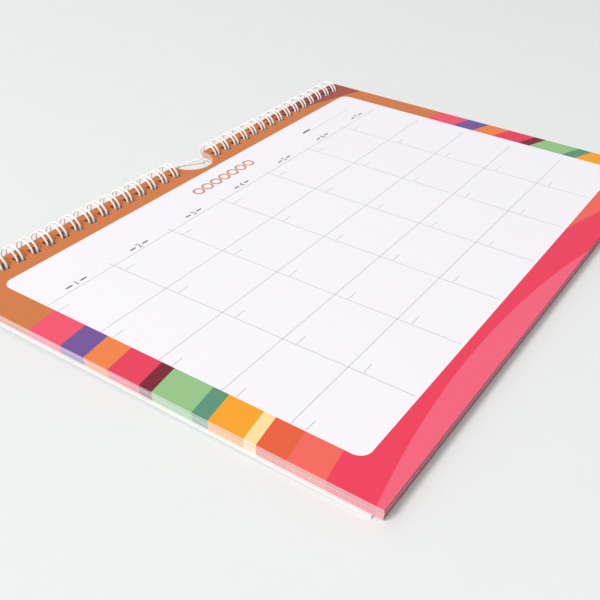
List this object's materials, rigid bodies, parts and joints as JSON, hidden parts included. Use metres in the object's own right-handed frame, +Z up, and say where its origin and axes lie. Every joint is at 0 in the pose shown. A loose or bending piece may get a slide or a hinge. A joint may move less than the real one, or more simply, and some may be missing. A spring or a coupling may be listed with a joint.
{
  "type": "monthly planner pad",
  "caption": "Landscape A4 desk and wall planner pad with printed month grid, white twin-loop wire binding, thumb cut and wire hanger.",
  "frame": {"origin": "middle of the footprint, on the table that the planner lies on", "axes": "+X along the bound long edge, +Y from the free edge to the bound edge, +Z up from the table"},
  "size_m": [0.2988, 0.219, 0.0118],
  "materials": {
    "sheet_paper": "uncoated offset paper, printed",
    "card": "white lined card",
    "binding_wire": "white nylon coated steel wire",
    "hanger_wire": "white nylon coated steel wire"
  },
  "bodies": {
    "binding": {"backing_board": "card", "binding_wire_left": "binding_wire", "binding_wire_right": "binding_wire"},
    "pages": {"page_block": "sheet_paper"},
    "hanger": {"hanger_wire": "hanger_wire"}
  },
  "joints": [
    {"name": "pages_turn", "type": "hinge", "parent": "binding", "child": "pages", "pos_m": [0, 0.09933, 0.00597], "axis": [-1, 0, 0], "range_deg": [0, 180]},
    {"name": "hanger_swing", "type": "hinge", "parent": "binding", "child": "hanger", "pos_m": [0, 0.10132, 0.00318], "axis": [1, 0, 0], "range_deg": [0, 200]}
  ]
}
